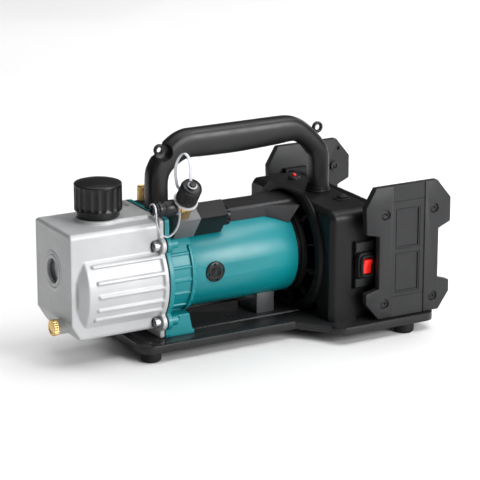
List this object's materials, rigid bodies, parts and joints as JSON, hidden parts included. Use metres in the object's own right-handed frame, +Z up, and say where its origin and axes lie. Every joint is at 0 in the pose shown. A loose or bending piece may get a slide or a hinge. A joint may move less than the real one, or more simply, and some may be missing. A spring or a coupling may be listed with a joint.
{
  "type": "hvac vacuum pump",
  "caption": "Portable two-stage rotary vane vacuum pump with oil tank, ribbed motor housing, solenoid valve with capped flare ports, carrying handle and guarded battery bay.",
  "frame": {"origin": "centre of the footprint, on the ground under the feet", "axes": "+X from the oil tank to the battery bay, +Y to the far side, away from the switch, +Z up"},
  "size_m": [0.401, 0.206, 0.213],
  "materials": {
    "base_black": "satin moulded black",
    "foot_rubber": "matt rubber",
    "zinc_steel": "zinc plated",
    "cast_aluminium": "fine sand-cast and painted silver",
    "gasket": "matt",
    "sight_glass": "clear",
    "brass": "machined",
    "seal_rubber": "matt rubber",
    "black_plastic": "fine grain",
    "teal_casting": "satin paint",
    "teal_tube": "satin paint",
    "machined_iron": "machined",
    "ground_steel": "ground",
    "vane_composite": "matt",
    "laminations": "stacked laminations",
    "copper": "enamelled wire",
    "magnet": "nickel plated",
    "cradle_grey": "satin",
    "valve_grey": "satin",
    "coil_black": "satin moulded",
    "cap_black": "satin moulded",
    "tether_clear": "translucent",
    "ballast_green": "satin paint",
    "duct_grey": "satin moulded",
    "housing_black": "fine grain",
    "contact_metal": "plated",
    "board_green": "solder mask",
    "switch_red": "gloss",
    "led_red": "clear red",
    "handle_black": "satin soft grip",
    "guard_grey": "fine grain",
    "screw_dark": "black oxide"
  },
  "bodies": {
    "pump_frame": {"base_plate": "base_black", "rubber_feet": "foot_rubber", "foot_screws": "zinc_steel", "oil_tank": "cast_aluminium", "tank_gasket": "gasket", "flange_bolts": "zinc_steel", "sight_glass": "sight_glass", "sight_glass_ring": "cast_aluminium", "seal_rings": "seal_rubber", "pump_housing": "teal_casting", "high_stage_stator": "machined_iron", "low_stage_stator": "machined_iron", "pump_end_cover": "machined_iron", "exhaust_valve": "ground_steel", "motor_tube": "teal_tube", "motor_stator": "laminations", "motor_windings": "copper", "motor_bearings": "ground_steel", "motor_end_cap": "black_plastic", "motor_cradle": "cradle_grey", "vent_caps": "black_plastic", "valve_block": "valve_grey", "solenoid_coil": "coil_black", "solenoid_nut": "black_plastic", "brass_manifold": "brass", "large_cap_tether": "tether_clear", "small_cap_tether": "tether_clear", "gas_ballast_body": "ballast_green", "duct_cover": "duct_grey", "intake_shroud": "black_plastic", "rear_housing": "housing_black", "rear_panel": "housing_black", "battery_docks": "black_plastic", "battery_contacts": "contact_metal", "control_board": "board_green", "switch_body": "black_plastic", "switch_boot": "seal_rubber", "led_lens": "led_red", "handle": "handle_black", "handle_brackets": "duct_grey", "guard_near": "guard_grey", "guard_far": "guard_grey", "guard_frames": "housing_black", "guard_screws": "screw_dark"},
    "rotor": {"pump_shaft": "ground_steel", "stage_rotors": "machined_iron", "pump_vanes": "vane_composite", "shaft_coupling": "ground_steel", "motor_shaft": "ground_steel", "rotor_core": "laminations", "rotor_magnets": "magnet", "cooling_fan": "black_plastic"},
    "filler_cap": {"filler_cap": "black_plastic"},
    "drain_plug": {"drain_plug": "brass"},
    "large_port_cap": {"large_port_cap": "cap_black"},
    "small_port_cap": {"small_port_cap": "cap_black"},
    "gas_ballast_knob": {"gas_ballast_knob": "brass"},
    "rocker_switch": {"rocker_switch": "switch_red"},
    "reset_button": {"reset_button": "seal_rubber"},
    "valve_plunger": {"valve_plunger": "ground_steel"}
  },
  "joints": [
    {"name": "rotor_spin", "type": "hinge", "parent": "pump_frame", "child": "rotor", "pos_m": [-0.0395, 0, 0.078], "axis": [1, 0, 0], "continuous": true},
    {"name": "filler_cap_turn", "type": "hinge", "parent": "pump_frame", "child": "filler_cap", "pos_m": [-0.1406, 0, 0.15], "axis": [0, 0, 1], "range_deg": [0, 360]},
    {"name": "drain_plug_turn", "type": "hinge", "parent": "pump_frame", "child": "drain_plug", "pos_m": [-0.1895, -0.016, 0.039], "axis": [-1, 0, 0], "range_deg": [0, 360]},
    {"name": "large_port_cap_turn", "type": "hinge", "parent": "pump_frame", "child": "large_port_cap", "pos_m": [-0.0735, -0.0313, 0.1281], "axis": [0, -0.6018, 0.7986], "range_deg": [0, 360]},
    {"name": "small_port_cap_turn", "type": "hinge", "parent": "pump_frame", "child": "small_port_cap", "pos_m": [-0.0925, -0.04675, 0.15026], "axis": [-1, 0, 0], "range_deg": [0, 360]},
    {"name": "gas_ballast_turn", "type": "hinge", "parent": "pump_frame", "child": "gas_ballast_knob", "pos_m": [-0.0785, 0.028, 0.145], "axis": [0, 0, 1], "range_deg": [0, 180]},
    {"name": "rocker_press", "type": "hinge", "parent": "pump_frame", "child": "rocker_switch", "pos_m": [0.1115, -0.083, 0.073], "axis": [1, 0, 0], "range_deg": [-20, 0]},
    {"name": "reset_press", "type": "slide", "parent": "pump_frame", "child": "reset_button", "axis": [0, 0, -1], "range_m": [0, 0.002], "stiffness_N_per_m": 400},
    {"name": "plunger_lift", "type": "slide", "parent": "pump_frame", "child": "valve_plunger", "axis": [1, 0, 0], "range_m": [0, 0.003], "stiffness_N_per_m": 400}
  ]
}
